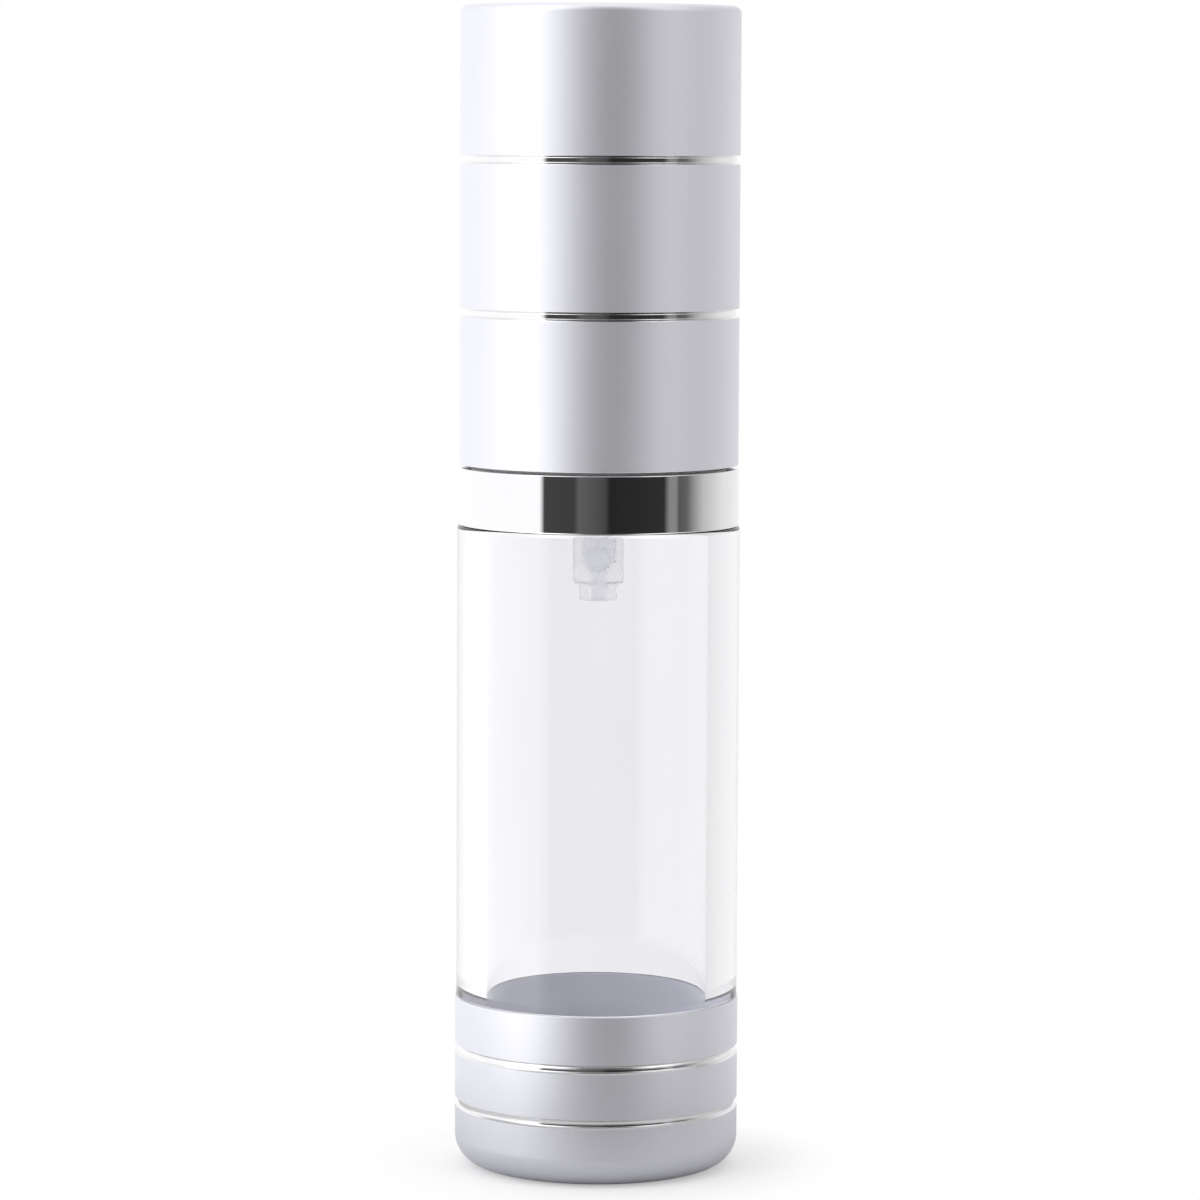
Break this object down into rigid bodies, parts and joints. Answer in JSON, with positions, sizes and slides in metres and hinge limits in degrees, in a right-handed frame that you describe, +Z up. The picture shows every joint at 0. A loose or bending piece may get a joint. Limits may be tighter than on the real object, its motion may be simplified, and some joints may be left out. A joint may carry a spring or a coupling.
{
  "type": "airless pump bottle",
  "caption": "Slim airless pump bottle: clear thick-walled tube with a rising follower piston, sprung press actuator under a lift-off satin metal overcap, polished collar, metal base.",
  "frame": {"origin": "centre of the foot, on the surface that the bottle stands on", "axes": "+Z up along the bottle's axis, -Y the side that the spout points to"},
  "size_m": [0.0282, 0.0282, 0.115],
  "materials": {
    "satin_aluminium": "satin anodised",
    "polished_metal": "mirror polished",
    "clear_plastic": "clear, glossy",
    "white_polypropylene": "matte",
    "natural_polypropylene": "milky, half clear",
    "soft_polyethylene": "waxy",
    "spring_steel": "drawn wire",
    "valve_glass": "polished",
    "gasket_rubber": "soft, matte"
  },
  "bodies": {
    "bottle": {"bottle_body": "clear_plastic", "base_shell": "satin_aluminium", "base_plug": "white_polypropylene", "collar_shell": "polished_metal", "collar_core": "white_polypropylene", "neck_gasket": "gasket_rubber", "pump_housing": "natural_polypropylene", "chaplet": "natural_polypropylene", "ball_cage": "natural_polypropylene", "return_spring": "spring_steel"},
    "overcap": {"overcap_shell": "satin_aluminium", "overcap_liner": "white_polypropylene"},
    "actuator": {"actuator_shell": "satin_aluminium", "actuator_insert": "white_polypropylene", "nozzle_insert": "white_polypropylene", "pump_stem": "natural_polypropylene", "pump_poppet": "natural_polypropylene"},
    "metering_piston": {"pump_piston": "soft_polyethylene"},
    "inlet_valve": {"inlet_ball": "valve_glass"},
    "follower": {"follower_piston": "soft_polyethylene"}
  },
  "joints": [
    {"name": "overcap_lift", "type": "slide", "parent": "bottle", "child": "overcap", "axis": [0, 0, 1], "range_m": [0, 0.045]},
    {"name": "actuator_press", "type": "slide", "parent": "bottle", "child": "actuator", "axis": [0, 0, -1], "range_m": [0, 0.005], "stiffness_N_per_m": 1200, "springref_m": -0.005, "deforming": ["return_spring"]},
    {"name": "piston_stroke", "type": "slide", "parent": "bottle", "child": "metering_piston", "axis": [0, 0, -1], "range_m": [0, 0.0041]},
    {"name": "inlet_ball_lift", "type": "slide", "parent": "bottle", "child": "inlet_valve", "axis": [0, 0, 1], "range_m": [0, 0.0009]},
    {"name": "follower_rise", "type": "slide", "parent": "bottle", "child": "follower", "axis": [0, 0, 1], "range_m": [0, 0.0488]}
  ],
  "couplings": [
    {"joint": "piston_stroke", "follows": "actuator_press", "ratio": 0.81}
  ]
}
